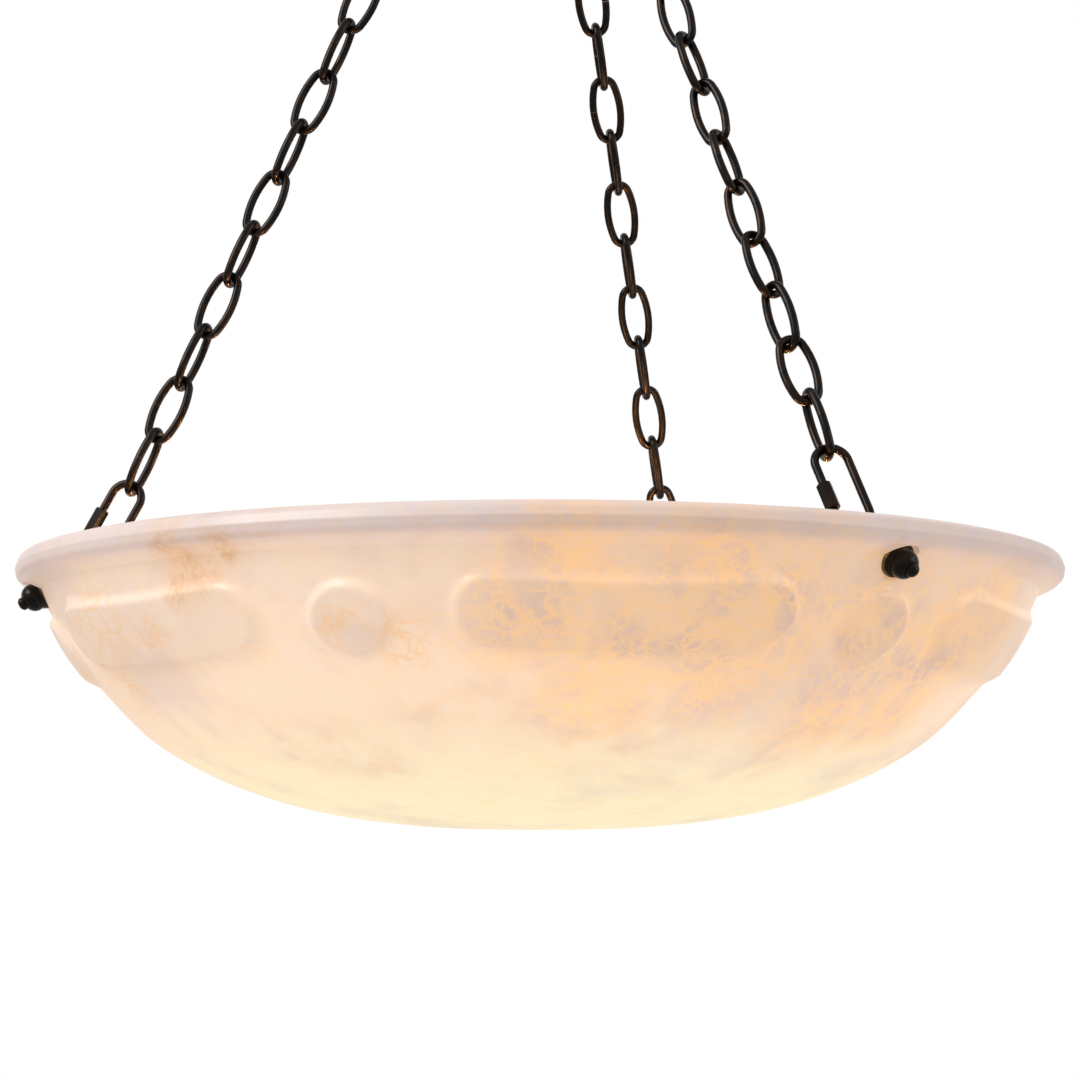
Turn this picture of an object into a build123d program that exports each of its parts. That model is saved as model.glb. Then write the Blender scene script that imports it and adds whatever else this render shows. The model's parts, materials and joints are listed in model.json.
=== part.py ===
from build123d import *
import math
import os

# Bowl pendant hung from the ceiling by three chains, in millimetres.
# Origin: centre of the canopy's face against the ceiling, +Z up, +Y towards hanger a.
# A hanger's own frame has X outwards from the pendant's axis, Y sideways and Z up.

# --- Clearances and cuts -------------------------------------------------------------------
HOLE_PLAY = 0.2             # between a bolt or nipple and the plain hole it goes through
THREAD_PLAY = 0.05          # between a bolt or nipple and what is screwed on it
CUT = 80.0                  # longer than anything a hole is cut through
SAME = 0.01                 # two lengths closer than this are the same

# --- Hangers -----------------------------------------------------------------------------
HANGERS = {"a": 180.0, "b": 60.0, "c": 300.0}   # azimuths: 0 is the -Y side, 90 the +X side

# --- Chain -------------------------------------------------------------------------------
CHAIN_LEAN = 23.88          # degrees from the vertical
CHAIN_TOP_R = 50.0          # where the first link hangs on the canopy's eye
CHAIN_TOP_Z = -35.0
LINK_COUNT = 13
LINK_PITCH = 28.38
LINK_WIRE = 3.9
LINK_WIDTH = 18.2
LINK_END_R = 5.6            # centreline radius of a link's round end
LINK_PLAY = 0.3             # how much longer inside than the pitch each link is
SEAM_WIDTH = 0.25           # open butt joint in each link
FIRST_TURN = {"a": 26.6, "b": -76.6, "c": -24.4}  # turn of the first link about the chain
EXTRA_TURN = {("b", 9): -20.0, ("b", 10): -16.0, ("b", 11): -49.0, ("b", 12): -39.0}

# --- Quick link --------------------------------------------------------------------------
QUICK_LEAN = 28.1
QUICK_TURN = {"a": 116.6, "b": 152.1, "c": -113.9}
QUICK_WIRE = 3.9
QUICK_INSIDE = 38.0
QUICK_LEG_SPACING = 15.5
SLEEVE_TOP = 15.5           # below the place where the last chain link hangs
SLEEVE_LENGTH = 13.0
SLEEVE_FLATS = 6.4
SLEEVE_PLAY = 0.1
SLEEVE_CHAMFER = 0.7
GAP_TOP = 20.0
GAP_LENGTH = 7.0

# --- Bowl --------------------------------------------------------------------------------
LIP_TOP_Z = -405.3
LIP_TOP_OUTER_R = 246.0
LIP_TOP_MIDDLE = (251.8, -2.1)      # points are radius, height from the top of the lip
LIP_NOSE = (254.0, -7.0)
LIP_BOTTOM_MIDDLE = (253.2, -10.6)
LIP_BOTTOM = (250.8, -13.0)
LIP_INNER_R = 231.0
LIP_EDGE_R = 3.0
NECK_TOP = (241.5, -17.2)
OUTER_CURVE = [(236.4, -28), (224.5, -48), (207.8, -68), (187, -88), (159.6, -104),
               (128.3, -116), (93.5, -124), (50, -128.8), (0, -130)]
INNER_CURVE = [(229.6, -20), (226.0, -32), (215.0, -50), (197.5, -68), (175.5, -84),
               (148.0, -98), (115.0, -110), (70.0, -118), (0, -120.5)]
LEVEL = (1, 0)                      # directions of the outlines at their ends
WALL_UP_TO_NECK = (0.42, 0.9)
WALL_DOWN_FROM_LIP = (-0.05, -1)

# --- Carved bosses round the bowl ---------------------------------------------------------
BOSS_OUTER = [(238.0, -29.5), (238.1, -32), (231.6, -44), (223.0, -56), (214.6, -65.5)]
BOSS_SINK = 6.0
BOSS_HEIGHT = 44.0          # along the bowl's slope
BOSS_SLOPE = 36.0           # degrees from level that the wall's face looks down
BOSS_CENTRE = (226.5, -48.5)
OVAL_LENGTH = 153.0
BOSS_STEP = 60.0
OVAL_START = 30.0           # azimuth of the first long boss
ROUND_START = 0.0
BOSS_CUT_BACK = 45.0        # how far inside the wall the boss's cutter starts

# --- Hanger bolt through the stone ---------------------------------------------------------
BOLT_TILT = 31.4            # degrees below level, looking outwards
BOLT_FACE = (240.5, -18.0)  # centre of the outer spot face: radius, height from the lip
STONE_THICKNESS = 9.0       # between the outer and inner spot faces
BOLT_R = 2.0
BOLT_HOLE_R = 2.6
OUTER_SPOT_R = 9.2
INNER_SPOT_R = 11.0
SPOT_DEPTH = 20.0
EYE_DEPTH = 25.0            # from the outer spot face back to the eye's centre
EYE_INNER_R = 6.0
EYE_WIRE = 3.5
EYE_NECK = 2.2              # from the eye's wire to the straight shank
SEAL_THICKNESS = 1.0
SEAL_R = 8.2
LUG_THICKNESS = 1.5
INNER_NUT_HEIGHT = 3.2
INNER_NUT_FLATS = 7.0
WASHER_R = 8.45
WASHER_THICKNESS = 1.5
WASHER_EDGE_R = 0.7
BOLT_END = 7.0              # the bolt's outer end, inside the finial nut
FINIAL_RINGS = [(0, 0), (7.7, 0), (7.7, 0.9), (7.1, 1.3), (7.1, 2.0), (6.5, 2.4)]
FINIAL_DOME = [(6.5, 2.4), (5.9, 6.2), (3.0, 8.6)]
FINIAL_NECK = [(3.0, 8.6), (3.1, 9.8), (2.2, 10.9)]
FINIAL_TIP = [(2.2, 10.9), (1.4, 11.4), (0, 11.5), (0, 0)]
FINIAL_HOLE_DEPTH = 6.0

# --- Canopy ------------------------------------------------------------------------------
CANOPY_R = 66.0
CANOPY_STEP_R = 60.0
CANOPY_STEP_Z = -8.0
CANOPY_STEP_FILLET = 2.0
CANOPY_DEPTH = 20.0
CANOPY_WALL = 1.5
CANOPY_OUTSIDE = [(CANOPY_R, 0), (CANOPY_R, -3.5), (CANOPY_STEP_R, CANOPY_STEP_Z), (59.0, -18.0),
                  (56.5, -CANOPY_DEPTH)]
CANOPY_INSIDE = [(55.8, -CANOPY_DEPTH + CANOPY_WALL), (57.4, -17.0), (58.4, -7.2), (64.5, -2.7),
                 (64.5, 0)]
PLATE_R = 54.0
PLATE_THICKNESS = 3.0
CROSSBAR_LENGTH = 108.0
CROSSBAR_WIDTH = 20.0
CROSSBAR_THICKNESS = 2.5
CROSSBAR_CORNER_R = 4.0
SLOT_SPACING = 88.9
SLOT_LENGTH = 9.0
SLOT_R = 2.4
NIPPLE_R = 5.0
NIPPLE_BORE_R = 3.4
NIPPLE_TOP_Z = -0.5
NIPPLE_END_Z = -29.0
LOCK_NUT_FLATS = 14.0
LOCK_NUT_HEIGHT = 3.0
CAP_NUT_R = 13.0
CAP_NUT_HEIGHT = 13.0
CAP_NUT_RIM = [(CAP_NUT_R, 0), (CAP_NUT_R, -2.0), (CAP_NUT_R - 1.5, -3.0)]   # from its top face
CAP_NUT_END_R = 6.5
CAP_NUT_DOME = [CAP_NUT_RIM[-1], (CAP_NUT_R - 3.2, -9.0), (CAP_NUT_END_R, -CAP_NUT_HEIGHT)]
CAP_NUT_HOLE_R = 4.6        # in the dome's end, where the bushing sits
BUSHING_BORE_R = 3.0
BUSHING_FLANGE_R = 5.8
BUSHING_FLANGE_HEIGHT = 1.2
BUSHING_R = 4.5
BUSHING_HEIGHT = 3.5
CANOPY_EYE_INNER_R = 4.5
CANOPY_EYE_WIRE = 3.0
CANOPY_EYE_PLAY = 0.3
CANOPY_BOLT_R = 48.3        # distance of the canopy's eye bolts from the pendant's axis
CANOPY_BOLT_END = 1.5       # above its nut
PLATE_TOP_Z = -CANOPY_DEPTH + CANOPY_WALL + PLATE_THICKNESS
COLLAR_R = 4.6
COLLAR_HEIGHT = 1.6
CANOPY_NUT_HEIGHT = 3.2
CANOPY_NUT_FLATS = 7.0

# --- Lamp cluster inside the bowl ------------------------------------------------------------
HUB_Z = -46.0               # top of the arms' hub, from the top of the lip
HUB_R = 34.0
ARM_OVERLAP = 4.0           # of an arm's inner end with the hub
ARM_WIDTH = 12.0
ARM_THICKNESS = 1.5
LUG_UP = 7.0
LUG_DOWN = 9.0
BODY_TOP_Z = LIP_TOP_Z + HUB_Z - ARM_THICKNESS
BODY_R = 27.0
BODY_HEIGHT = 40.0
BODY_WALL = 1.5
COVER_RIM_HEIGHT = 4.0
COVER_RIM_PLAY = 0.1
SCREW_R = 2.0
SCREW_LENGTH = 12.0
SCREW_HEAD_R = 4.0
SCREW_HEAD_HEIGHT = 2.2
BRIDGE_WIDTH = 8.0
BRIDGE_LENGTH = 50.0
BRIDGE_THICKNESS = 2.0
BRIDGE_UP = 8.0             # its middle above the body's open end
HUB_NIPPLE_REACH = 9.0      # above and below the hub
GLAND_R = 8.5
GLAND_HEIGHT = 9.0
GLAND_TOP = 2.0
GLAND_BORE_R = 3.0
GLAND_CHAMFER = 0.8
LAMPS = {"1": 0.0, "2": 120.0, "3": 240.0}      # azimuths, midway between the hangers
LAMP_Z = -67.5
HOLDER_R = 18.0
HOLDER_LENGTH = 44.0
HOLDER_WALL = 2.0
HOLDER_BACK = 6.0           # thickness of the cup's closed end
HOLDER_EDGE_R = 2.5
HOLDER_START = BODY_R + 0.2
HOLDER_NIPPLE_START = BODY_R - 8.0
HOLDER_NIPPLE_R = 4.9
HOLDER_NIPPLE_BORE_R = 3.0
SHELL_START = HOLDER_START + 6.8
SHELL_R = 13.8
SHELL_WALL = 0.5
SHELL_LENGTH = 26.0
SHELL_BACK = 1.0
BULB_BASE_R = 13.1
BULB_BASE_LENGTH = 25.0
BULB_BASE_START = HOLDER_START + 9.8
BULB_BASE_CHAMFER = 2.5
BULB_CONTACT_R = 4.5
BULB_CONTACT_HEIGHT = 1.6
BULB_LENGTH = 76.0
BULB_OUTSIDE = [(13.5, 0), (15.5, 14), (25.5, 32), (28.0, 48), (20.5, 67.5), (0, BULB_LENGTH)]
GLASS_WALL = 0.8
BULB_INSIDE = [(12.7, 0), (14.7, 14.3), (24.7, 32.3), (27.2, 48), (20.0, 67.2),
               (0, BULB_LENGTH - GLASS_WALL)]
STEM_R = 3.5
STEM_LENGTH = 22.0
STRIP_COUNT = 4
STRIP_R = 1.2
STRIP_LENGTH = 34.0
STRIP_CENTRE = (6.0, 0, 34.0)
FOOT_SIZE = (7.0, 1.0, 1.0)
FOOT_CENTRE = (3.8, 0, 18.0)


def write(name, shape):
    export_step(shape, "parts/" + name + ".step")


def on_axis(azimuth, shape):
    """Turn a shape made in a hanger's own frame to its place round the pendant's axis."""
    return Rot(0, 0, azimuth - 90) * shape


def hexagon_prism(flats, height):
    return extrude(RegularPolygon(flats / 2, 6, major_radius=False), height)


def tube(outer_r, inner_r, height):
    """A tube standing on Z = 0."""
    return extrude(Circle(outer_r) - Circle(inner_r), height)


def along_bolt(distance):
    """Frame on the hanger bolt's axis, Z outwards, at a distance from the outer spot face."""
    tilt = math.radians(BOLT_TILT)
    outwards = Vector(math.cos(tilt), 0, -math.sin(tilt))
    face = Vector(BOLT_FACE[0], 0, LIP_TOP_Z + BOLT_FACE[1])
    return Plane(origin=face + outwards * distance, x_dir=(0, 1, 0), z_dir=outwards)


def chain_frame(lean, turn, middle):
    """Frame at a point: Y up along a leaning link, X across it, turned about Y."""
    lean = math.radians(lean)
    turn = math.radians(turn)
    up = Vector(-math.sin(lean), 0, math.cos(lean))
    back = Vector(-math.cos(lean), 0, -math.sin(lean))
    across = Vector(0, 1, 0) * math.cos(turn) + back * math.sin(turn)
    return Plane(origin=middle, x_dir=across, z_dir=across.cross(up))


def chain_point(distance):
    """Point on the chain's line, at a distance down from the canopy's eye."""
    lean = math.radians(CHAIN_LEAN)
    return Vector(CHAIN_TOP_R + distance * math.sin(lean), 0,
                  CHAIN_TOP_Z - distance * math.cos(lean))


# --- Chain links ---------------------------------------------------------------------------

def link_path():
    """Closed centreline of one link, its long axis along Y: four tangent arcs."""
    half_length = (LINK_PITCH + LINK_PLAY + LINK_WIRE) / 2
    half_width = (LINK_WIDTH - LINK_WIRE) / 2
    end_centre = half_length - LINK_END_R
    spare = half_width - LINK_END_R
    side_centre = (end_centre ** 2 - spare ** 2) / (2 * spare)
    side_r = side_centre + half_width
    side_angle = math.degrees(math.atan2(end_centre, side_centre))
    end_angle = 90 - side_angle
    right = CenterArc((-side_centre, 0), side_r, -side_angle, 2 * side_angle)
    top = CenterArc((0, end_centre), LINK_END_R, 90 - end_angle, 2 * end_angle)
    left = CenterArc((side_centre, 0), side_r, 180 - side_angle, 2 * side_angle)
    bottom = CenterArc((0, -end_centre), LINK_END_R, 270 - end_angle, 2 * end_angle)
    return Wire([right.edge(), top.edge(), left.edge(), bottom.edge()])


def link():
    path = link_path()
    start = path @ 0
    ring = sweep(Plane(origin=start, z_dir=path % 0) * Circle(LINK_WIRE / 2), path)
    seam = Pos((LINK_WIDTH - LINK_WIRE) / 2, 0, 0) * Box(2 * LINK_WIRE, SEAM_WIDTH, 2 * LINK_WIRE)
    return ring - seam


def link_turn(hanger, index):
    return FIRST_TURN[hanger] + 90 * index + EXTRA_TURN.get((hanger, index), 0.0)


def placed_link(hanger, index, template):
    middle = chain_point((index + 0.5) * LINK_PITCH)
    frame = chain_frame(CHAIN_LEAN, link_turn(hanger, index), middle)
    return on_axis(HANGERS[hanger], frame.location * template)


def make_chain(hanger, template):
    write("chain_" + hanger + "_top_link", placed_link(hanger, 0, template))
    others = [placed_link(hanger, index, template) for index in range(1, LINK_COUNT)]
    write("chain_" + hanger + "_links", Compound(children=others))


# --- Quick links ---------------------------------------------------------------------------

def quick_point(distance):
    """Point on the quick link's line, at a distance down from the last chain link."""
    lean = math.radians(QUICK_LEAN)
    top = chain_point(LINK_COUNT * LINK_PITCH)
    return top + Vector(math.sin(lean), 0, -math.cos(lean)) * distance


def quick_link_body():
    """Long axis along Y, middle at the origin, open in the leg on the +X side."""
    half_spacing = QUICK_LEG_SPACING / 2
    half_straight = (QUICK_INSIDE + QUICK_WIRE) / 2 - half_spacing
    gap_top = QUICK_INSIDE / 2 - GAP_TOP
    gap_bottom = gap_top - GAP_LENGTH
    upper_leg = Line((half_spacing, gap_top), (half_spacing, half_straight))
    top = CenterArc((0, half_straight), half_spacing, 0, 180)
    other_leg = Line((-half_spacing, half_straight), (-half_spacing, -half_straight))
    bottom = CenterArc((0, -half_straight), half_spacing, 180, 180)
    lower_leg = Line((half_spacing, -half_straight), (half_spacing, gap_bottom))
    path = Wire([upper_leg.edge(), top.edge(), other_leg.edge(), bottom.edge(), lower_leg.edge()])
    section = Plane(origin=path @ 0, z_dir=path % 0) * Circle(QUICK_WIRE / 2)
    return sweep(section, path)


def quick_link_sleeve():
    """Hexagonal screw sleeve round the +X leg, in the quick link's own frame."""
    blank = hexagon_prism(SLEEVE_FLATS, SLEEVE_LENGTH)
    corner_r = SLEEVE_FLATS / math.sqrt(3)
    round_bar = chamfer(Cylinder(corner_r, SLEEVE_LENGTH).edges().filter_by(GeomType.CIRCLE),
                        SLEEVE_CHAMFER)
    sleeve = blank & (Pos(0, 0, SLEEVE_LENGTH / 2) * round_bar)
    sleeve -= Cylinder(QUICK_WIRE / 2 + SLEEVE_PLAY, 3 * SLEEVE_LENGTH)
    bottom = QUICK_INSIDE / 2 - SLEEVE_TOP - SLEEVE_LENGTH
    return Pos(QUICK_LEG_SPACING / 2, bottom, 0) * (Rot(-90, 0, 0) * sleeve)


def make_quick_link(hanger, body, sleeve):
    frame = chain_frame(QUICK_LEAN, QUICK_TURN[hanger], quick_point(QUICK_INSIDE / 2))
    write("quick_link_" + hanger, on_axis(HANGERS[hanger], frame.location * body))
    write("quick_link_" + hanger + "_sleeve", on_axis(HANGERS[hanger], frame.location * sleeve))


# --- Bowl ----------------------------------------------------------------------------------

def bowl_blank():
    """The turned bowl, in its own frame with the lip's top at Z = 0."""
    nose_top = (LIP_TOP_OUTER_R, 0)
    inner_edge = (LIP_INNER_R, -LIP_EDGE_R)
    outline = [
        Line((0, INNER_CURVE[-1][1]), (0, OUTER_CURVE[-1][1])),
        Spline([(0, OUTER_CURVE[-1][1])] + OUTER_CURVE[-2::-1] + [NECK_TOP],
               tangents=[LEVEL, WALL_UP_TO_NECK]),
        Line(NECK_TOP, LIP_BOTTOM),
        ThreePointArc(LIP_BOTTOM, LIP_BOTTOM_MIDDLE, LIP_NOSE),
        ThreePointArc(LIP_NOSE, LIP_TOP_MIDDLE, nose_top),
        Line(nose_top, (LIP_INNER_R + LIP_EDGE_R, 0)),
        RadiusArc((LIP_INNER_R + LIP_EDGE_R, 0), inner_edge, -LIP_EDGE_R),
        Spline([inner_edge] + INNER_CURVE, tangents=[WALL_DOWN_FROM_LIP, (-1, 0)]),
    ]
    face = make_face(outline)
    return revolve(Plane.XZ * face, Axis.Z)


def boss_ring():
    """A ring whose outer face is that of the bosses' tops."""
    outer = Spline(BOSS_OUTER)
    inner_bottom = (BOSS_OUTER[-1][0] - BOSS_SINK, BOSS_OUTER[-1][1] + BOSS_SINK / 2)
    inner_top = (BOSS_OUTER[0][0] - BOSS_SINK, BOSS_OUTER[0][1])
    rest = Polyline(BOSS_OUTER[-1], inner_bottom, inner_top, BOSS_OUTER[0])
    return revolve(Plane.XZ * make_face([outer.edge()] + list(rest.edges())), Axis.Z)


def boss_cutter(azimuth, length):
    """A bar with the boss's outline, pointing out of the wall along its normal."""
    slope = math.radians(BOSS_SLOPE)
    outwards = Vector(math.cos(slope), 0, -math.sin(slope))
    centre = Vector(BOSS_CENTRE[0], 0, BOSS_CENTRE[1])
    frame = Plane(origin=centre - outwards * BOSS_CUT_BACK, x_dir=(0, 1, 0), z_dir=outwards)
    if length > BOSS_HEIGHT:
        outline = SlotOverall(length, BOSS_HEIGHT)
    else:
        outline = Circle(length / 2)
    return on_axis(azimuth, extrude(frame * outline, CUT))


def bosses():
    ring = boss_ring()
    pads = []
    for step in range(6):
        oval = boss_cutter(OVAL_START + step * BOSS_STEP, OVAL_LENGTH)
        pads.append(ring & oval)
        disc = boss_cutter(ROUND_START + step * BOSS_STEP, BOSS_HEIGHT)
        pads.append(ring & disc)
    return pads


def bolt_holes():
    """What each hanger bolt takes out of the stone: its hole and two flat spot faces."""
    cuts = []
    for azimuth in HANGERS.values():
        hole = along_bolt(0).location * Cylinder(BOLT_HOLE_R, CUT)
        outer = along_bolt(0).location * extrude(Circle(OUTER_SPOT_R), CUT)
        inner = along_bolt(-STONE_THICKNESS).location * extrude(Circle(INNER_SPOT_R), -SPOT_DEPTH)
        cuts += [on_axis(azimuth, cut) for cut in (hole, outer, inner)]
    return cuts


def make_bowl():
    bowl = Pos(0, 0, LIP_TOP_Z) * bowl_blank()
    bowl = bowl + [Pos(0, 0, LIP_TOP_Z) * pad for pad in bosses()]
    bowl = bowl - bolt_holes()
    write("alabaster_bowl", bowl)


# --- Hanger bolt and what it holds ------------------------------------------------------------

def rod(start, end, radius):
    """A round rod from one point to another."""
    along = end - start
    return Plane(origin=start, z_dir=along).location * extrude(Circle(radius), along.length)


def hanger_eye_bolt(hanger):
    """Eye inside the bowl, square to the quick link, on a neck cranked from the shank."""
    across = chain_frame(QUICK_LEAN, QUICK_TURN[hanger], (0, 0, 0)).x_dir
    middle = along_bolt(-EYE_DEPTH)
    centre_r = EYE_INNER_R + EYE_WIRE / 2
    in_ring = middle.z_dir - across * across.dot(middle.z_dir)
    ring_end = middle.origin + in_ring.normalized() * centre_r
    ring = Plane(origin=middle.origin, z_dir=across).location * Torus(centre_r, EYE_WIRE / 2)
    shank_start = along_bolt(-EYE_DEPTH + centre_r + EYE_NECK)
    shank_length = EYE_DEPTH - centre_r - EYE_NECK + BOLT_END
    shank = shank_start.location * extrude(Circle(BOLT_R), shank_length)
    crank = Pos(shank_start.origin) * Sphere(BOLT_R)
    return ring + rod(shank_start.origin, ring_end, EYE_WIRE / 2) + crank + shank


def finial_nut():
    """Cap nut on Z with its face at Z = 0: two thin rings, a dome and a small tip."""
    outline = [Polyline(*FINIAL_RINGS), ThreePointArc(*FINIAL_DOME), ThreePointArc(*FINIAL_NECK),
               Polyline(*FINIAL_TIP)]
    edges = [edge for part in outline for edge in part.edges()]
    body = revolve(Plane.XZ * make_face(edges), Axis.Z)
    return body - extrude(Circle(BOLT_R), FINIAL_HOLE_DEPTH)


def outer_washer():
    disc = extrude(Circle(WASHER_R), WASHER_THICKNESS)
    top = disc.edges().filter_by(GeomType.CIRCLE).sort_by(Axis.Z)[-1]
    return fillet(top, WASHER_EDGE_R) - Cylinder(BOLT_R + HOLE_PLAY, CUT)


def make_hanger_hardware():
    nut = finial_nut()
    inner_nut = hexagon_prism(INNER_NUT_FLATS, INNER_NUT_HEIGHT) - Cylinder(BOLT_R + THREAD_PLAY, CUT)
    washers = []
    seals = []
    inner_nuts = []
    for hanger, azimuth in HANGERS.items():
        write("hanger_" + hanger + "_eye_bolt", on_axis(azimuth, hanger_eye_bolt(hanger)))
        finial = along_bolt(WASHER_THICKNESS).location * nut
        write("finial_nut_" + hanger, on_axis(azimuth, finial))
        washers.append(on_axis(azimuth, along_bolt(0).location * outer_washer()))
        seal_base = along_bolt(-STONE_THICKNESS - SEAL_THICKNESS)
        seal = seal_base.location * tube(SEAL_R, BOLT_R + HOLE_PLAY, SEAL_THICKNESS)
        seals.append(on_axis(azimuth, seal))
        nut_depth = STONE_THICKNESS + SEAL_THICKNESS + LUG_THICKNESS + INNER_NUT_HEIGHT
        inner_nuts.append(on_axis(azimuth, along_bolt(-nut_depth).location * inner_nut))
    write("outer_washers", Compound(children=washers))
    write("inner_seal_washers", Compound(children=seals))
    write("inner_hanger_nuts", Compound(children=inner_nuts))


# --- Canopy ----------------------------------------------------------------------------------

def canopy_bolt_holes():
    hole = Pos(CANOPY_BOLT_R, 0, 0) * Cylinder(BOLT_R + HOLE_PLAY, CUT)
    return [on_axis(azimuth, hole) for azimuth in HANGERS.values()]


def make_canopy_shell():
    hole_r = NIPPLE_R + HOLE_PLAY
    outside = CANOPY_OUTSIDE + [(hole_r, -CANOPY_DEPTH)]
    inside = [(hole_r, -CANOPY_DEPTH + CANOPY_WALL)] + CANOPY_INSIDE
    face = make_face(Polyline(*outside, *inside, close=True).edges())
    shell = revolve(Plane.XZ * face, Axis.Z)
    step = shell.edges().filter_by(GeomType.CIRCLE).filter_by(
        lambda edge: abs(edge.radius - CANOPY_STEP_R) < SAME
        and abs(edge.center().Z - CANOPY_STEP_Z) < SAME)
    write("canopy_shell", fillet(step, CANOPY_STEP_FILLET) - canopy_bolt_holes())


def make_load_plate():
    plate = tube(PLATE_R, NIPPLE_R + HOLE_PLAY, PLATE_THICKNESS)
    write("canopy_load_plate", Pos(0, 0, -CANOPY_DEPTH + CANOPY_WALL) * plate - canopy_bolt_holes())


def make_crossbar():
    bar = Pos(0, 0, -CROSSBAR_THICKNESS) * extrude(
        RectangleRounded(CROSSBAR_LENGTH, CROSSBAR_WIDTH, CROSSBAR_CORNER_R), CROSSBAR_THICKNESS)
    bar -= Cylinder(NIPPLE_R + THREAD_PLAY, CUT)
    for side in (-1, 1):
        slot = SlotCenterToCenter(SLOT_LENGTH - 2 * SLOT_R, 2 * SLOT_R)
        bar -= Pos(side * SLOT_SPACING / 2, 0, 0) * extrude(slot, CUT, both=True)
    write("ceiling_crossbar", bar)


def nipple_nut():
    return hexagon_prism(LOCK_NUT_FLATS, LOCK_NUT_HEIGHT) - Cylinder(NIPPLE_R + THREAD_PLAY, CUT)


def make_nipple_and_nuts():
    nipple = tube(NIPPLE_R, NIPPLE_BORE_R, NIPPLE_TOP_Z - NIPPLE_END_Z)
    write("threaded_nipple", Pos(0, 0, NIPPLE_END_Z) * nipple)
    under_bar = Pos(0, 0, -CROSSBAR_THICKNESS - LOCK_NUT_HEIGHT) * nipple_nut()
    on_plate = Pos(0, 0, PLATE_TOP_Z) * nipple_nut()
    write("nipple_lock_nuts", Compound(children=[under_bar, on_plate]))


def make_cap_nut_and_bushing():
    hole_r = NIPPLE_R + THREAD_PLAY
    floor = NIPPLE_END_Z + CANOPY_DEPTH
    inside = [(CAP_NUT_END_R, -CAP_NUT_HEIGHT), (CAP_NUT_HOLE_R, -CAP_NUT_HEIGHT), (CAP_NUT_HOLE_R, floor),
              (hole_r, floor), (hole_r, 0)]
    outline = [Polyline((hole_r, 0), *CAP_NUT_RIM), ThreePointArc(*CAP_NUT_DOME), Polyline(*inside)]
    edges = [edge for part in outline for edge in part.edges()]
    cap_nut = revolve(Plane.XZ * make_face(edges), Axis.Z)
    write("canopy_cap_nut", Pos(0, 0, -CANOPY_DEPTH) * cap_nut)
    flange = tube(BUSHING_FLANGE_R, BUSHING_BORE_R, -BUSHING_FLANGE_HEIGHT)
    bushing = flange + tube(BUSHING_R, BUSHING_BORE_R, BUSHING_HEIGHT)
    write("cord_bushing", Pos(0, 0, -CANOPY_DEPTH - CAP_NUT_HEIGHT) * bushing)


def canopy_eye_bolt(hanger):
    """Eye under the canopy; its ring is turned square to the first chain link."""
    across = chain_frame(CHAIN_LEAN, link_turn(hanger, 0), (0, 0, 0)).x_dir
    centre_r = CANOPY_EYE_INNER_R + CANOPY_EYE_WIRE / 2
    middle = chain_point(-CANOPY_EYE_INNER_R + CANOPY_EYE_PLAY)
    ring = Plane(origin=middle, z_dir=across).location * Torus(centre_r, CANOPY_EYE_WIRE / 2)
    bottom = middle.Z + centre_r
    top = PLATE_TOP_Z + CANOPY_NUT_HEIGHT + CANOPY_BOLT_END
    shank = Pos(CANOPY_BOLT_R, 0, bottom) * extrude(Circle(BOLT_R), top - bottom)
    collar = Pos(CANOPY_BOLT_R, 0, -CANOPY_DEPTH) * extrude(Circle(COLLAR_R), -COLLAR_HEIGHT)
    return ring + shank + collar


def make_canopy_eyes():
    nuts = []
    nut = hexagon_prism(CANOPY_NUT_FLATS, CANOPY_NUT_HEIGHT) - Cylinder(BOLT_R + THREAD_PLAY, CUT)
    for hanger, azimuth in HANGERS.items():
        write("canopy_eye_bolt_" + hanger, on_axis(azimuth, canopy_eye_bolt(hanger)))
        nuts.append(on_axis(azimuth, Pos(CANOPY_BOLT_R, 0, PLATE_TOP_Z) * nut))
    write("canopy_eye_nuts", Compound(children=nuts))


# --- Lamp cluster ------------------------------------------------------------------------------

def spider_arm():
    """One flat arm from the lug under the inner nut down to the hub, in the hanger's frame."""
    tilt = math.radians(BOLT_TILT)
    wall_up = Vector(math.sin(tilt), 0, math.cos(tilt))
    outer_face = along_bolt(-STONE_THICKNESS - SEAL_THICKNESS).origin
    inwards = Vector(-math.cos(tilt), 0, math.sin(tilt)) * LUG_THICKNESS
    top = outer_face + wall_up * LUG_UP
    bend = outer_face - wall_up * LUG_DOWN
    hub_top = LIP_TOP_Z + HUB_Z
    profile = Polyline(
        (top.X, top.Z), (bend.X, bend.Z), (HUB_R - ARM_OVERLAP, hub_top - ARM_THICKNESS),
        (HUB_R - ARM_OVERLAP, hub_top), (bend.X + inwards.X, bend.Z + inwards.Z),
        (top.X + inwards.X, top.Z + inwards.Z), close=True)
    arm = extrude(Plane.XZ * make_face(profile.edges()), ARM_WIDTH / 2, both=True)
    hole = along_bolt(-STONE_THICKNESS).location * Cylinder(BOLT_R + HOLE_PLAY, SPOT_DEPTH)
    return arm - hole


def make_spider():
    hub = Pos(0, 0, BODY_TOP_Z) * tube(HUB_R, NIPPLE_R + HOLE_PLAY, ARM_THICKNESS)
    arms = [on_axis(azimuth, spider_arm()) for azimuth in HANGERS.values()]
    write("lamp_spider", hub + arms)


def lamp_frame(azimuth, radius):
    """Frame on a lamp's axis, Z pointing away from the pendant's axis."""
    turn = math.radians(azimuth - 90)
    outwards = Vector(math.cos(turn), math.sin(turn), 0)
    return Plane(origin=outwards * radius + Vector(0, 0, LIP_TOP_Z + LAMP_Z), z_dir=outwards)


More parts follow.
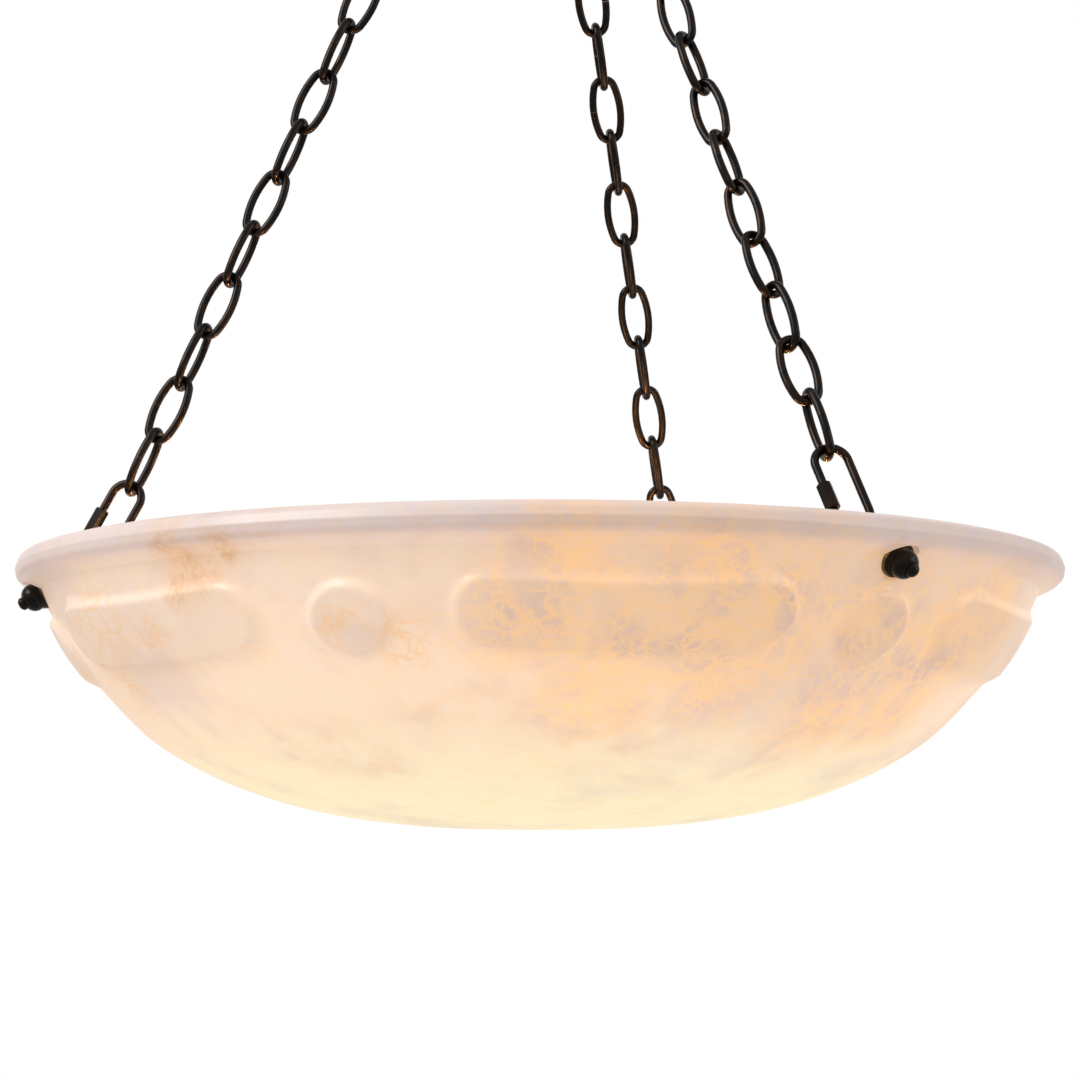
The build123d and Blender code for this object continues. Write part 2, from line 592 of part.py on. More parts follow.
def make_cluster_body():
    """Round can, open below, with a hole above for its nipple and one for each lamp."""
    body = extrude(Circle(BODY_R), BODY_HEIGHT)
    body -= extrude(Circle(BODY_R - BODY_WALL), BODY_HEIGHT - BODY_WALL)
    body -= Cylinder(NIPPLE_R + HOLE_PLAY, CUT + BODY_HEIGHT)
    body = Pos(0, 0, BODY_TOP_Z - BODY_HEIGHT) * body
    for azimuth in LAMPS.values():
        body -= lamp_frame(azimuth, HOLDER_NIPPLE_START).location * extrude(Circle(NIPPLE_R), CUT)
    write("cluster_body", body)


def make_cluster_cover():
    cover = extrude(Circle(BODY_R), -BODY_WALL)
    rim_r = BODY_R - BODY_WALL - COVER_RIM_PLAY
    cover += tube(rim_r, rim_r - BODY_WALL, COVER_RIM_HEIGHT)
    cover -= Cylinder(SCREW_R + HOLE_PLAY, CUT)
    write("cluster_cover", Pos(0, 0, BODY_TOP_Z - BODY_HEIGHT) * cover)


def make_cluster_fixings():
    nipple = Pos(0, 0, -HUB_NIPPLE_REACH) * tube(
        NIPPLE_R, NIPPLE_BORE_R, ARM_THICKNESS + 2 * HUB_NIPPLE_REACH)
    write("cluster_nipple", Pos(0, 0, BODY_TOP_Z) * nipple)
    write("cluster_lock_nut", Pos(0, 0, BODY_TOP_Z - BODY_WALL - LOCK_NUT_HEIGHT) * nipple_nut())
    gland = tube(GLAND_R, NIPPLE_R + THREAD_PLAY, GLAND_HEIGHT)
    gland += Pos(0, 0, GLAND_HEIGHT) * tube(GLAND_R, GLAND_BORE_R, GLAND_TOP)
    gland = chamfer(gland.edges().filter_by(GeomType.CIRCLE).sort_by(Axis.Z)[-1:], GLAND_CHAMFER)
    write("cord_gland", Pos(0, 0, LIP_TOP_Z + HUB_Z) * gland)
    screw = extrude(Circle(SCREW_R), SCREW_LENGTH) + extrude(Circle(SCREW_HEAD_R), -SCREW_HEAD_HEIGHT)
    write("cover_screw", Pos(0, 0, BODY_TOP_Z - BODY_HEIGHT - BODY_WALL) * screw)
    bridge = Box(BRIDGE_WIDTH, BRIDGE_LENGTH, BRIDGE_THICKNESS) - Cylinder(SCREW_R + THREAD_PLAY, CUT)
    write("cover_bridge", Pos(0, 0, BODY_TOP_Z - BODY_HEIGHT + BRIDGE_UP) * bridge)


def lampholder():
    """Cup on Z, its closed back at Z = 0."""
    cup = extrude(Circle(HOLDER_R), HOLDER_LENGTH)
    cup -= Pos(0, 0, HOLDER_BACK) * extrude(Circle(HOLDER_R - HOLDER_WALL), HOLDER_LENGTH)
    back = cup.edges().filter_by(GeomType.CIRCLE).sort_by(Axis.Z)[0]
    return fillet(back, HOLDER_EDGE_R)


def holder_shell():
    return tube(SHELL_R, SHELL_R - SHELL_WALL, SHELL_LENGTH) + extrude(Circle(SHELL_R), SHELL_BACK)


def bulb_base():
    base = extrude(Circle(BULB_BASE_R), BULB_BASE_LENGTH)
    base = chamfer(base.edges().filter_by(GeomType.CIRCLE).sort_by(Axis.Z)[0], BULB_BASE_CHAMFER)
    return base + extrude(Circle(BULB_CONTACT_R), -BULB_CONTACT_HEIGHT)


def bulb_glass():
    """Pear-shaped bulb on Z with its neck at Z = 0, hollow."""
    outside = Spline(BULB_OUTSIDE, tangents=[(0, 1), (-1, 0)])
    inside = Spline(BULB_INSIDE, tangents=[(0, 1), (-1, 0)])
    neck = Line(BULB_OUTSIDE[0], BULB_INSIDE[0])
    tip = Line(BULB_OUTSIDE[-1], BULB_INSIDE[-1])
    face = make_face([line.edge() for line in (outside, inside, neck, tip)])
    return revolve(Plane.XZ * face, Axis.Z)


def bulb_filament():
    """Glass stem on the base with upright light strips round it."""
    stem = extrude(Circle(STEM_R), STEM_LENGTH)
    for turn in range(STRIP_COUNT):
        strip = Pos(*STRIP_CENTRE) * Cylinder(STRIP_R, STRIP_LENGTH)
        foot = Pos(*FOOT_CENTRE) * Box(*FOOT_SIZE)
        stem += Rot(0, 0, 360 / STRIP_COUNT * turn) * (strip + foot)
    return stem


def make_lamps():
    holder = lampholder()
    shell = holder_shell()
    base = bulb_base()
    glass = bulb_glass()
    filament = bulb_filament()
    nipples = []
    for name, azimuth in LAMPS.items():
        write("lampholder_" + name, lamp_frame(azimuth, HOLDER_START).location * holder)
        write("holder_shell_" + name, lamp_frame(azimuth, SHELL_START).location * shell)
        write("bulb_base_" + name, lamp_frame(azimuth, BULB_BASE_START).location * base)
        glass_start = lamp_frame(azimuth, BULB_BASE_START + BULB_BASE_LENGTH).location
        write("bulb_glass_" + name, glass_start * glass)
        write("bulb_filament_" + name, glass_start * filament)
        nipple = tube(HOLDER_NIPPLE_R, HOLDER_NIPPLE_BORE_R, HOLDER_START - HOLDER_NIPPLE_START)
        nipples.append(lamp_frame(azimuth, HOLDER_NIPPLE_START).location * nipple)
    write("holder_nipples", Compound(children=nipples))


def main():
    os.makedirs("parts", exist_ok=True)
    template = link()
    body = quick_link_body()
    sleeve = quick_link_sleeve()
    for hanger in HANGERS:
        make_chain(hanger, template)
        make_quick_link(hanger, body, sleeve)
    make_bowl()
    make_hanger_hardware()
    make_canopy_shell()
    make_load_plate()
    make_crossbar()
    make_nipple_and_nuts()
    make_cap_nut_and_bushing()
    make_canopy_eyes()
    make_spider()
    make_cluster_body()
    make_cluster_cover()
    make_cluster_fixings()
    make_lamps()


main()
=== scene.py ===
import json
import math

import bpy
import numpy as np
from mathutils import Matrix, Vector


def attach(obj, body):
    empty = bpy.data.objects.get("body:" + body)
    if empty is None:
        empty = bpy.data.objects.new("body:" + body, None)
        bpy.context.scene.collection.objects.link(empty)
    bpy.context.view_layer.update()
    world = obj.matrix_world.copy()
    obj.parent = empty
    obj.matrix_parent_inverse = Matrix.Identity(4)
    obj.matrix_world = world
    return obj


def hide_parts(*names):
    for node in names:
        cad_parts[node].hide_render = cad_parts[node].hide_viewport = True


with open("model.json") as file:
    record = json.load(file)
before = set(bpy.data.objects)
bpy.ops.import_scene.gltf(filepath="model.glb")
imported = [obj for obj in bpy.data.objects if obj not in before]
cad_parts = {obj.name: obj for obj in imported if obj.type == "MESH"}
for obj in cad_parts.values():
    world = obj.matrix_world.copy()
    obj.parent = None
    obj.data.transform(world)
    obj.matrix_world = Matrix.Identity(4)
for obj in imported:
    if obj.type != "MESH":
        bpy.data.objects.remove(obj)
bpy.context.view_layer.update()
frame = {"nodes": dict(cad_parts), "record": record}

# Metres, degrees, linear colours. Azimuth 0 is the -Y side and 90 the +X side.

# --- Camera ---------------------------------------------------------------------------------
CAMERA_AZIMUTH = 20.5
CAMERA_DISTANCE = 1.455
CAMERA_HEIGHT = -0.5624
CAMERA_PITCH = 6.62
LENS = 99.3
SENSOR = 36.0

# --- Room and studio light ------------------------------------------------------------------
FLOOR_HEIGHT = -3.0
FLOOR_SIZE = 400.0
BACKDROP = (1.0, 1.0, 1.0)
ROOM_LIGHT = 0.62
FLOOR_COLOUR = (0.62, 0.62, 0.62)
# name: (azimuth, elevation, distance, size, watts)
SOFTBOXES = {
    "key_softbox": (-40, 35, 2.2, 1.2, 26),
    "fill_softbox": (95, 15, 2.6, 1.4, 9),
}

# --- Bowl -----------------------------------------------------------------------------------
LIP_TOP_Z = -0.4053
# Outlines are radius, height from the lip's top, in millimetres.
OUTER_WALL = [(0, -130), (50, -128.8), (93.5, -124), (128.3, -116), (159.6, -104), (187, -88),
              (207.8, -68), (224.5, -48), (236.4, -28), (241.5, -17.2)]
INNER_WALL = [(231, -3), (229.6, -20), (226, -32), (215, -50), (197.5, -68), (175.5, -84),
              (148, -98), (115, -110), (70, -118), (0, -120.5)]
LIP_BOTTOM = (250.8, -13.0)
LIP_OUTER_ARC = [(250.8, -13.0), (253.2, -10.6), (254.0, -7.0)]
LIP_UPPER_ARC = [(254.0, -7.0), (251.8, -2.1), (246.0, 0.0)]
LIP_INNER_EDGE = [(234.0, 0.0), (231.9, -0.9), (231.0, -3.0)]
BOSS_TOP = [(238.0, -29.5), (238.1, -32), (231.6, -44), (223.0, -56), (214.6, -65.5)]
BOSS_CENTRE = (226.5, -48.5)
BOSS_SLOPE = 36.0
BOSS_HEIGHT = 43.0
OVAL_LENGTH = 152.0
OVAL_START = 30.0
ROUND_START = 0.0
BOSS_STEP = 60.0
BOSS_EDGE = 7.0             # width of a boss's soft edge, in millimetres
COLUMNS = 1080
FINE_COLUMN = 0.08          # degrees, near the hanger bolts
FINE_HALF = 3.0

# --- Hanger bolts, for their seats in the stone -----------------------------------------------
HANGERS = (180.0, 60.0, 300.0)
BOLT_TILT = 31.4
BOLT_FACE = (240.5, -18.0)
OUTER_SPOT_R = 9.2
INNER_SPOT_R = 11.0
STONE_THICKNESS = 9.0

# --- Lamps ----------------------------------------------------------------------------------
LAMP_AZIMUTHS = (0, 120, 240)
LAMP_RADIUS = 0.105
LAMP_Z = LIP_TOP_Z - 0.0675
LAMP_WATTS = 0.8
LAMP_COLOUR = (1.0, 0.52, 0.20)
THREAD_PITCH = 0.0036       # of a bulb's screw cap

# --- Stone ----------------------------------------------------------------------------------
STONE = (0.58, 0.53, 0.52)
# Colours of the lamplight that comes through the stone
LIP_GLOW = (1.0, 0.68, 0.58)
BAND_GLOW = (1.0, 0.68, 0.42)
LOW_GLOW = (1.0, 0.84, 0.46)
GLOW_REACH = 0.12           # distance from a lamp, in metres, at which its part of the glow is 1
GLOW_FALLOFF = 1.5
GLOW_SUM = (0.7, 1.8)       # sums of the lamps' parts that give the least and the most glow
GLOW_RANGE = (0.40, 0.72)
INSIDE_GLOW = 0.15          # of the glow outside
# Painted shade on the lip: the part of the glow it keeps down to 8 mm below its top, rising to all of
# it by 15 mm.
UNDER_LIP_GLOW = 0.52
BOSS_SHADE = 0.10           # how much less light a boss lets through
# Colours of the marks
PEACH = (1.0, 0.55, 0.22)
LAVENDER = (0.52, 0.38, 0.36)
TAN = (0.76, 0.51, 0.33)
GOLD = (1.05, 0.58, 0.20)
HONEY = (0.82, 0.46, 0.20)
BROWN = (0.40, 0.20, 0.10)
# Places of the marks: azimuth, height from the lip's top in millimetres, size in millimetres
CRACKLED_PLACES = [(24, -20, 24), (38, -22, 30), (20, -46, 26), (30, -52, 34), (38, -46, 40),
                   (46, -44, 36), (42, -66, 26), (60, -44, 28), (73, -52, 34), (80, -40, 26),
                   (74, -78, 26), (60, -84, 24), (28, -76, 24)]
GREY_PLACES = [(60, -50, 17), (72, -61, 11), (59, -12, 16), (45, -42, 15), (36, -46, 13),
               (33, -56, 10)]
TAN_PLACES = [(-12, -98, 20), (-6, -104, 16), (-20, -94, 13), (4, -86, 16), (14, -80, 14),
              (24, -88, 20), (35, -92, 20), (57, -99, 18)]
# Honey stains in the stone; the last place, beside the hanger bolt at azimuth 60, is a painted orange
# glow round the bolt's hole.
HONEY_STAIN_AND_BOLT_GLOW_PLACES = [(-38, -44, 20), (-28, -46, 13), (-43, -64, 18), (6, -54, 13), (-2, -49, 9),
                (56.5, -17, 7)]
STAINED_PLACES = [(-18, -22, 15), (-20, -27, 9), (-11, -13, 9), (-6, -5, 8)]
PLACE_FADE = (1.9, 0.3)     # in sizes of a mark: where it starts and where it is full
COARSE_VEINS = (0.013, 0.12)    # size of the cells in metres, width of the lines in cells
FINE_VEINS = (0.006, 0.18)


# --- Shader helpers -----------------------------------------------------------------------------

def new_material(name):
    material = bpy.data.materials.new(name)
    material.use_nodes = True
    material.node_tree.nodes.clear()
    return material


def add(tree, kind, settings=None, inputs=None):
    """A node with its settings and inputs; an input is a constant or another node's socket."""
    node = tree.nodes.new(kind)
    for key, value in (settings or {}).items():
        setattr(node, key, value)
    for key, value in (inputs or {}).items():
        if isinstance(value, bpy.types.NodeSocket):
            tree.links.new(value, node.inputs[key])
        elif isinstance(value, tuple) and len(value) == 3 and node.inputs[key].type == "RGBA":
            node.inputs[key].default_value = (*value, 1.0)
        else:
            node.inputs[key].default_value = value
    return node


def calc(tree, operation, first, second=0.0, third=0.0):
    node = add(tree, "ShaderNodeMath", {"operation": operation}, {0: first, 1: second, 2: third})
    return node.outputs[0]


def product(tree, *factors):
    result = factors[0]
    for factor in factors[1:]:
        result = calc(tree, "MULTIPLY", result, factor)
    return result


def mix(tree, factor, first, second):
    node = add(tree, "ShaderNodeMix", {"data_type": "RGBA"}, {0: factor, 6: first, 7: second})
    return node.outputs[2]


def smooth_step(tree, value, start, end, low=0.0, high=1.0):
    node = add(tree, "ShaderNodeMapRange", {"interpolation_type": "SMOOTHSTEP"},
               {0: value, 1: start, 2: end, 3: low, 4: high})
    return node.outputs[0]


def noise(tree, place, scale, detail=3.0, roughness=0.5):
    return add(tree, "ShaderNodeTexNoise", None,
               {"Vector": place, "Scale": scale, "Detail": detail, "Roughness": roughness})


def grey_noise(tree, place, scale, detail=3.0, roughness=0.5):
    return noise(tree, place, scale, detail, roughness).outputs["Fac"]


def object_place(tree):
    return add(tree, "ShaderNodeTexCoord").outputs["Object"]


def warped(tree, place, scale, amount):
    """The place moved about by a noise, for patterns that mustn't look regular."""
    shift = add(tree, "ShaderNodeVectorMath", {"operation": "SUBTRACT"},
                {0: noise(tree, place, scale).outputs["Color"], 1: (0.5, 0.5, 0.5)}).outputs[0]
    moved = add(tree, "ShaderNodeVectorMath", {"operation": "SCALE"}, {0: shift, "Scale": amount})
    return add(tree, "ShaderNodeVectorMath", {"operation": "ADD"},
               {0: place, 1: moved.outputs[0]}).outputs[0]


def bump(tree, height, strength, distance):
    node = add(tree, "ShaderNodeBump", None,
               {"Strength": strength, "Distance": distance, "Height": height})
    return node.outputs[0]


def surface(tree, **inputs):
    """A Principled surface as the material's output."""
    shader = add(tree, "ShaderNodeBsdfPrincipled", None,
                 {key.replace("_", " "): value for key, value in inputs.items()})
    output = add(tree, "ShaderNodeOutputMaterial")
    tree.links.new(shader.outputs[0], output.inputs["Surface"])


# --- Stone -----------------------------------------------------------------------------------

def wall_point(azimuth, height):
    """Point on the bowl's outer wall, in metres, at a height in millimetres from the lip's top."""
    radii = np.array(sorted(OUTER_WALL, key=lambda point: point[1]), float)
    radius = np.interp(height, radii[:, 1], radii[:, 0]) / 1000
    turn = math.radians(azimuth)
    return (radius * math.sin(turn), -radius * math.cos(turn), LIP_TOP_Z + height / 1000)


def near_places(tree, place, spots):
    """1 inside any of the marked places, falling softly to 0 at their edges."""
    total = 0.0
    for azimuth, height, size in spots:
        far = add(tree, "ShaderNodeVectorMath", {"operation": "DISTANCE"},
                  {0: place, 1: wall_point(azimuth, height)}).outputs["Value"]
        start, full = [size / 1000 * sizes for sizes in PLACE_FADE]
        spot = smooth_step(tree, far, start, full)
        total = calc(tree, "MAXIMUM", spot, total)
    return total


def veins(tree, place, size, width):
    """Thin wispy lines, fading in and out, round uneven cells of a size in metres."""
    crooked = warped(tree, warped(tree, place, 0.4 / size, size), 2.4 / size, 0.75 * size)
    cells = add(tree, "ShaderNodeTexVoronoi", {"feature": "DISTANCE_TO_EDGE"},
                {"Vector": crooked, "Scale": 1 / size}).outputs["Distance"]
    lines = smooth_step(tree, cells, width, 0.0)
    return product(tree, lines, smooth_step(tree, grey_noise(tree, place, 0.5 / size), 0.36, 0.60))


def lamp_glow(tree, place):
    """How strongly lamplight comes through the stone at a place."""
    total = 0.0
    for azimuth in LAMP_AZIMUTHS:
        turn = math.radians(azimuth)
        lamp = (LAMP_RADIUS * math.sin(turn), -LAMP_RADIUS * math.cos(turn), LAMP_Z)
        far = add(tree, "ShaderNodeVectorMath", {"operation": "DISTANCE"},
                  {0: place, 1: lamp}).outputs["Value"]
        near = calc(tree, "POWER", calc(tree, "DIVIDE", GLOW_REACH, far), GLOW_FALLOFF)
        total = calc(tree, "ADD", near, total)
    return smooth_step(tree, total, *GLOW_SUM, *GLOW_RANGE)


def stone_patterns(tree):
    """Height in millimetres and the masks of the stone's clouds, veins and stains, and of a painted
    orange glow beside one hanger bolt.
    """
    place = object_place(tree)
    z = add(tree, "ShaderNodeSeparateXYZ", None, {0: place}).outputs[2]
    height = calc(tree, "MULTIPLY_ADD", z, 1000.0, -LIP_TOP_Z * 1000)
    wavy = warped(tree, place, 18.0, 0.03)
    ragged = warped(tree, wavy, 60.0, 0.02)
    clouds = grey_noise(tree, wavy, 15.0, 7.0, 0.62)
    mottle = grey_noise(tree, warped(tree, place, 50.0, 0.012), 48.0, 5.0, 0.55)
    coarse = veins(tree, place, *COARSE_VEINS)
    fine = veins(tree, wavy, *FINE_VEINS)
    return {
        "place": place,
        "height": height,
        "clouds": smooth_step(tree, clouds, 0.47, 0.68),
        "mottle": smooth_step(tree, mottle, 0.36, 0.72),
        "crinkle": calc(tree, "MAXIMUM", coarse, fine),
        "crackled": near_places(tree, wavy, CRACKLED_PLACES),
        "grey": near_places(tree, ragged, GREY_PLACES),
        "tan": near_places(tree, ragged, TAN_PLACES),
        "honey_stain_and_bolt_glow": near_places(tree, ragged, HONEY_STAIN_AND_BOLT_GLOW_PLACES),
        "stained": near_places(tree, ragged, STAINED_PLACES),
    }


def tinted(tree, marks, base, strength):
    """The base colour with the stone's clouds, veins and stains on it, and a painted orange glow
    beside one hanger bolt.
    """
    colour = mix(tree, product(tree, marks["crackled"], 0.62 * strength), base, PEACH)
    colour = mix(tree, product(tree, marks["clouds"], 0.36 * strength), colour, LAVENDER)
    between = calc(tree, "MULTIPLY_ADD", marks["crinkle"], -0.7, 1.0)
    lilac = product(tree, marks["crackled"], marks["mottle"], between, 0.48 * strength)
    colour = mix(tree, lilac, colour, LAVENDER)
    grey = product(tree, marks["grey"], marks["mottle"], between, 0.5 * strength)
    colour = mix(tree, grey, colour, LAVENDER)
    tan = product(tree, marks["tan"], marks["mottle"], 0.7 * strength)
    colour = mix(tree, tan, colour, TAN)
    golden = calc(tree, "MULTIPLY_ADD", marks["crackled"], 0.40 * strength, 0.22 * strength)
    colour = mix(tree, product(tree, marks["crinkle"], golden), colour, GOLD)
    # Honey stains, and the painted orange glow beside a hanger bolt.
    honey_stain_and_bolt_glow = calc(tree, "MULTIPLY_ADD", marks["crinkle"], 0.6 * strength, 0.15 * strength)
    colour = mix(tree, product(tree, marks["honey_stain_and_bolt_glow"], honey_stain_and_bolt_glow), colour, HONEY)
    colour = mix(tree, product(tree, marks["stained"], 0.75 * strength), colour, HONEY)
    dark = product(tree, marks["stained"], marks["crinkle"], 0.3)
    return mix(tree, dark, colour, BROWN)


def make_alabaster(name, inside):
    material = new_material(name)
    tree = material.node_tree
    marks = stone_patterns(tree)
    low = smooth_step(tree, marks["height"], -70.0, -124.0)
    below_lip = smooth_step(tree, marks["height"], -10.0, -20.0)
    glow = mix(tree, low, mix(tree, below_lip, LIP_GLOW, BAND_GLOW), LOW_GLOW)
    strength = lamp_glow(tree, marks["place"])
    if inside:
        strength = product(tree, strength, INSIDE_GLOW)
    else:
        # Painted shade: the bosses glow a little less than the wall round them.
        relief = add(tree, "ShaderNodeAttribute", {"attribute_name": "relief"}).outputs["Fac"]
        boss_painted_shade = calc(tree, "MULTIPLY_ADD", relief, -BOSS_SHADE, 1.0)
        # Painted shade: the lip glows at about half strength, rising to full by 15 mm below its top.
        lip_painted_shade = smooth_step(tree, marks["height"], -8.0, -15.0, UNDER_LIP_GLOW, 1.0)
        strength = product(tree, strength, lip_painted_shade, boss_painted_shade)
    grain = grey_noise(tree, marks["place"], 260.0, 4.0)
    surface(tree, Base_Color=tinted(tree, marks, STONE, 0.5), Roughness=0.34,
            Specular_IOR_Level=0.45, Emission_Color=tinted(tree, marks, glow, 1.0),
            Emission_Strength=strength, Normal=bump(tree, grain, 0.06, 0.001))
    material.cycles.emission_sampling = "NONE"
    return material


# --- Other materials ----------------------------------------------------------------------------

def make_metal(name, dark, light, metallic, roughness):
    """Metal whose colour and gloss wander between two tones, with a faint uneven surface."""
    material = new_material(name)
    tree = material.node_tree
    place = object_place(tree)
    wear = grey_noise(tree, warped(tree, place, 40.0, 0.01), 90.0, 5.0, 0.65)
    patina = smooth_step(tree, wear, 0.42, 0.66)
    fine = grey_noise(tree, place, 300.0, 2.0)
    surface(tree, Base_Color=mix(tree, patina, dark, light), Metallic=metallic,
            Roughness=smooth_step(tree, wear, 0.3, 0.7, roughness + 0.08, roughness - 0.06),
            Normal=bump(tree, fine, 0.05, 0.0004))
    return material


def make_plastic(name, colour, roughness):
    material = new_material(name)
    tree = material.node_tree
    place = object_place(tree)
    speckle = grey_noise(tree, place, 1800.0, 2.0)
    tone = grey_noise(tree, place, 60.0)
    lighter = tuple(min(1.0, part * 1.5 + 0.01) for part in colour)
    surface(tree, Base_Color=mix(tree, tone, colour, lighter), Roughness=roughness,
            Normal=bump(tree, speckle, 0.15, 0.0002))
    return material


def make_bulb_cap(azimuth):
    """Aluminium with the rolled screw thread as a bump along the cap's axis."""
    material = new_material("screw_cap_" + str(azimuth))
    tree = material.node_tree
    place = object_place(tree)
    turn = math.radians(azimuth)
    outwards = add(tree, "ShaderNodeVectorMath", {"operation": "DOT_PRODUCT"},
                {0: place, 1: (math.sin(turn), -math.cos(turn), 0)}).outputs["Value"]
    thread = calc(tree, "SINE", calc(tree, "MULTIPLY", outwards, 2 * math.pi / THREAD_PITCH))
    grime = grey_noise(tree, place, 180.0)
    surface(tree, Base_Color=mix(tree, grime, (0.55, 0.55, 0.56), (0.72, 0.72, 0.73)),
            Metallic=1.0, Roughness=0.3, Normal=bump(tree, thread, 0.9, 0.0008))
    return material


def make_bulb_glass():
    material = new_material("warm_bulb_glass")
    tree = material.node_tree
    haze = grey_noise(tree, object_place(tree), 25.0, 2.0)
    surface(tree, Base_Color=mix(tree, haze, (1.0, 0.93, 0.8), (1.0, 0.88, 0.7)),
            Roughness=0.12, Alpha=0.42, Emission_Color=(1.0, 0.72, 0.38), Emission_Strength=2.6)
    material.cycles.emission_sampling = "NONE"
    return material


def make_filament():
    material = new_material("glowing_strips")
    tree = material.node_tree
    grain = grey_noise(tree, object_place(tree), 900.0, 2.0)
    hot = mix(tree, grain, (1.0, 0.72, 0.32), (1.0, 0.82, 0.5))
    surface(tree, Base_Color=(0.9, 0.7, 0.3), Roughness=0.5, Emission_Color=hot,
            Emission_Strength=9.0)
    material.cycles.emission_sampling = "NONE"
    return material


# --- Bowl mesh -------------------------------------------------------------------------------

def along(points, spacing):
    """Points at an even spacing on a smooth curve through the given ones (Catmull-Rom)."""
    known = np.array(points, float)
    padded = np.vstack([2 * known[0] - known[1], known, 2 * known[-1] - known[-2]])
    dense = []
    for start in range(len(known) - 1):
        a, b, c, d = padded[start:start + 4]
        for t in np.linspace(0, 1, 40, endpoint=False):
            dense.append(0.5 * (2 * b + (c - a) * t + (2 * a - 5 * b + 4 * c - d) * t ** 2
                                + (3 * b - a - 3 * c + d) * t ** 3))
    dense.append(known[-1])
    dense = np.array(dense)
    lengths = np.concatenate([[0], np.cumsum(np.linalg.norm(np.diff(dense, axis=0), axis=1))])
    count = max(2, int(round(lengths[-1] / spacing)) + 1)
    wanted = np.linspace(0, lengths[-1], count)
    return np.column_stack([np.interp(wanted, lengths, dense[:, axis]) for axis in (0, 1)])


def bowl_outline():
    """Radius and height down the whole section, from outside bottom to inside bottom."""
    wall = along(OUTER_WALL, 0.4)
    low = wall[wall[:, 1] < -70][::14]
    band = wall[(wall[:, 1] >= -70) & (wall[:, 1] < -27)][::3]
    neck = wall[wall[:, 1] >= -27]
    inner = along(INNER_WALL, 0.4)
    outline = [low, band, neck]
    outline.append(along([OUTER_WALL[-1], LIP_BOTTOM], 0.5)[1:])
    outline.append(along(LIP_OUTER_ARC, 0.6)[1:])
    outline.append(along(LIP_UPPER_ARC, 0.9)[1:])
    outline.append(along([LIP_UPPER_ARC[-1], LIP_INNER_EDGE[0]], 3.0)[1:])
    outline.append(along(LIP_INNER_EDGE, 0.8)[1:])
    outline.append(inner[inner[:, 1] > -40][1::3])
    outline.append(inner[inner[:, 1] <= -40][::14])
    outline.append([INNER_WALL[-1]])
    return np.vstack(outline), sum(len(part) for part in outline[:-3])


def column_azimuths():
    """Even columns, with fine ones near the hanger bolts."""
    azimuths = list(np.arange(COLUMNS) * 360.0 / COLUMNS)
    for hanger in HANGERS:
        azimuths = [a for a in azimuths if abs((a - hanger + 180) % 360 - 180) > FINE_HALF]
        azimuths += list(hanger + np.arange(-FINE_HALF, FINE_HALF, FINE_COLUMN))
    return np.array(sorted(a % 360 for a in azimuths))


def from_edge(side, up, length):
    """Distance from the outline of a boss of that length: negative inside it."""
    straight = max(length - BOSS_HEIGHT, 0.0) / 2
    return np.hypot(np.maximum(np.abs(side) - straight, 0.0), up) - BOSS_HEIGHT / 2


def boss_mask(azimuths, radius, height):
    """1 on the bosses and 0 off them, with a soft edge, for a grid of outline by column."""
    slope = math.radians(BOSS_SLOPE)
    nearest = np.full(radius.shape, 1e3)
    for start, length in ((OVAL_START, OVAL_LENGTH), (ROUND_START, BOSS_HEIGHT)):
        for step in range(6):
            turn = np.radians(azimuths - start - step * BOSS_STEP)
            outwards = radius * np.cos(turn)
            side = radius * np.sin(turn)
            up = ((outwards - BOSS_CENTRE[0]) * math.sin(slope)
                  + (height - BOSS_CENTRE[1]) * math.cos(slope))
            edge = from_edge(side, up, length)
            nearest = np.minimum(nearest, np.where(outwards > 0, edge, 1e3))
    t = np.clip((0.6 - nearest) / BOSS_EDGE, 0, 1)
    return t * t * (3 - 2 * t)


def seat(points, hanger, spot_r, face, sign):
    """Cut flat, square to the hanger bolt, what stands past the face near the bolt."""
    tilt = math.radians(BOLT_TILT)
    turn = math.radians(hanger)
    level = np.array([math.sin(turn), -math.cos(turn), 0])
    axis = level * math.cos(tilt) - np.array([0, 0, math.sin(tilt)])
    centre = level * BOLT_FACE[0] + np.array([0, 0, BOLT_FACE[1]])
    offset = points - centre
    distance = offset @ axis
    aside = np.linalg.norm(offset - distance[..., None] * axis, axis=-1)
    past = (distance - face) * sign
    near = np.abs(past) < 15
    cut = (aside < spot_r) & (past > 0) & near
    points[cut] -= ((distance - face)[..., None] * axis)[cut]


def bowl_points():
    """The grid of points, outline by column, the boss mask, and where the inside starts."""
    outline, inside_from = bowl_outline()
    azimuths = column_azimuths()
    radius = np.repeat(outline[:, :1], len(azimuths), axis=1)
    height = np.repeat(outline[:, 1:], len(azimuths), axis=1)
    mask = boss_mask(azimuths[None, :], radius, height)
    top = np.array(sorted(BOSS_TOP, key=lambda point: point[1]), float)
    wall = along(OUTER_WALL, 0.4)
    base = np.interp(top[:, 1], wall[:, 1], wall[:, 0])
    rise = np.interp(outline[:, 1], top[:, 1], top[:, 0] - base)[:, None]
    mask[inside_from:] = 0.0
    radius = radius + mask * rise
    turn = np.radians(azimuths)[None, :]
    points = np.stack([radius * np.sin(turn), -radius * np.cos(turn), height], axis=-1)
    outer, inner = points[:inside_from], points[inside_from:]
    for hanger in HANGERS:
        seat(outer, hanger, OUTER_SPOT_R, 0.0, 1)
        seat(inner, hanger, INNER_SPOT_R, -STONE_THICKNESS, -1)
    return points, mask, inside_from


def grid_faces(rows, columns):
    """Quads between neighbouring rows and columns, closed round the axis."""
    row, column = np.meshgrid(np.arange(rows - 1), np.arange(columns), indexing="ij")
    after = (column + 1) % columns
    corners = [row * columns + column, row * columns + after,
               (row + 1) * columns + after, (row + 1) * columns + column]
    return np.stack(corners, axis=-1).reshape(-1, 4)


